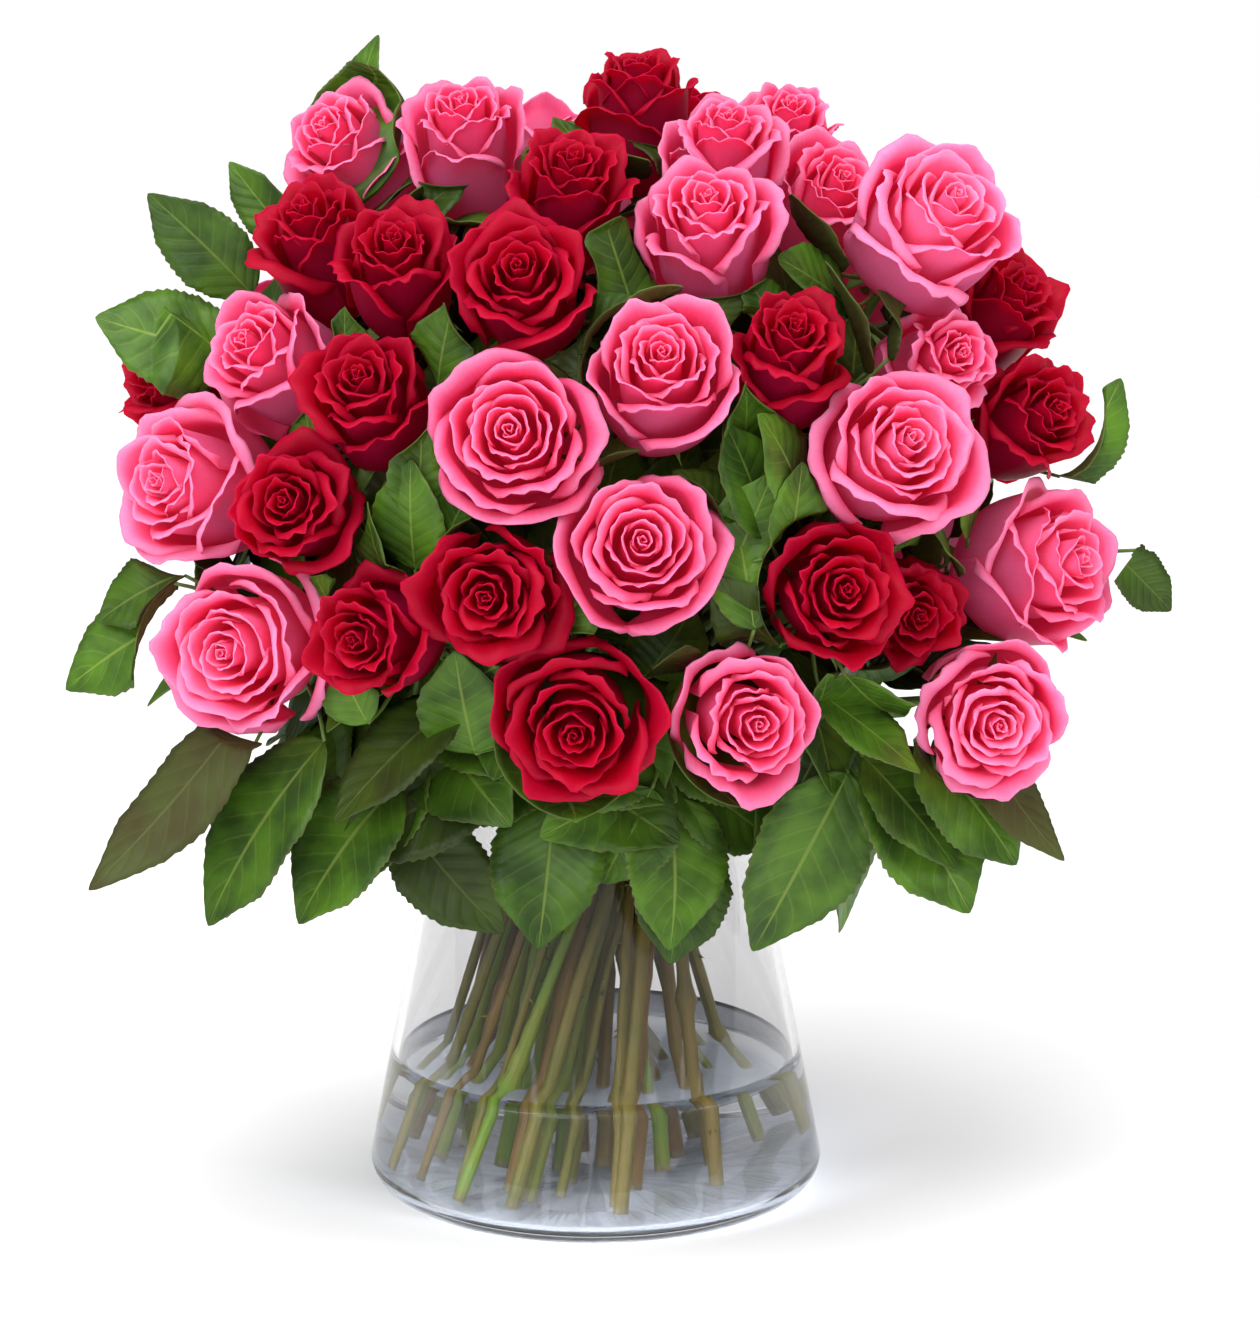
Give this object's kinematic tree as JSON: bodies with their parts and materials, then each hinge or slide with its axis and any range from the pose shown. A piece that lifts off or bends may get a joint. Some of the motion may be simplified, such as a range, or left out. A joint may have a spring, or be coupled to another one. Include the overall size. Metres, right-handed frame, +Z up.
{
  "type": "bunch of roses in a glass vase",
  "caption": "Domed hand-tied bunch of pink and red roses with a collar of leaves, standing in a flared clear glass vase part filled with water.",
  "frame": {"origin": "centre of the flat underside of the vase", "axes": "+Z up along the axis of the vase, the fuller front of the bunch towards -Y, +X to the right seen from the front"},
  "size_m": [0.3969, 0.286, 0.4613],
  "materials": {
    "pink_petals": "soft satin",
    "red_petals": "velvety",
    "leaf": "waxy",
    "stem": "waxy",
    "glass": "polished",
    "water": "clear",
    "raffia": "fibrous"
  },
  "bodies": {
    "root": {"compound_leaf_01": "leaf", "compound_leaf_02": "leaf", "compound_leaf_03": "leaf", "compound_leaf_04": "leaf", "compound_leaf_05": "leaf", "compound_leaf_06": "leaf", "compound_leaf_07": "leaf", "compound_leaf_08": "leaf", "compound_leaf_09": "leaf", "compound_leaf_10": "leaf", "compound_leaf_11": "leaf", "glass_vase": "glass", "pink_rose_01": "pink_petals", "pink_rose_02": "pink_petals", "pink_rose_03": "pink_petals", "pink_rose_04": "pink_petals", "pink_rose_05": "pink_petals", "pink_rose_06": "pink_petals", "pink_rose_07": "pink_petals", "pink_rose_08": "pink_petals", "pink_rose_09": "pink_petals", "pink_rose_10": "pink_petals", "pink_rose_11": "pink_petals", "pink_rose_12": "pink_petals", "pink_rose_13": "pink_petals", "pink_rose_14": "pink_petals", "pink_rose_15": "pink_petals", "pink_rose_16": "pink_petals", "pink_rose_17": "pink_petals", "pink_rose_18": "pink_petals", "pink_rose_19": "pink_petals", "pink_rose_20": "pink_petals", "pink_rose_21": "pink_petals", "pink_rose_22": "pink_petals", "pink_rose_23": "pink_petals", "pink_rose_24": "pink_petals", "pink_rose_25": "pink_petals", "raffia_tie": "raffia", "red_rose_01": "red_petals", "red_rose_02": "red_petals", "red_rose_03": "red_petals", "red_rose_04": "red_petals", "red_rose_05": "red_petals", "red_rose_06": "red_petals", "red_rose_07": "red_petals", "red_rose_08": "red_petals", "red_rose_09": "red_petals", "red_rose_10": "red_petals", "red_rose_11": "red_petals", "red_rose_12": "red_petals", "red_rose_13": "red_petals", "red_rose_14": "red_petals", "red_rose_15": "red_petals", "red_rose_16": "red_petals", "red_rose_17": "red_petals", "red_rose_18": "red_petals", "red_rose_19": "red_petals", "red_rose_20": "red_petals", "red_rose_21": "red_petals", "water": "water"}
  },
  "joints": []
}
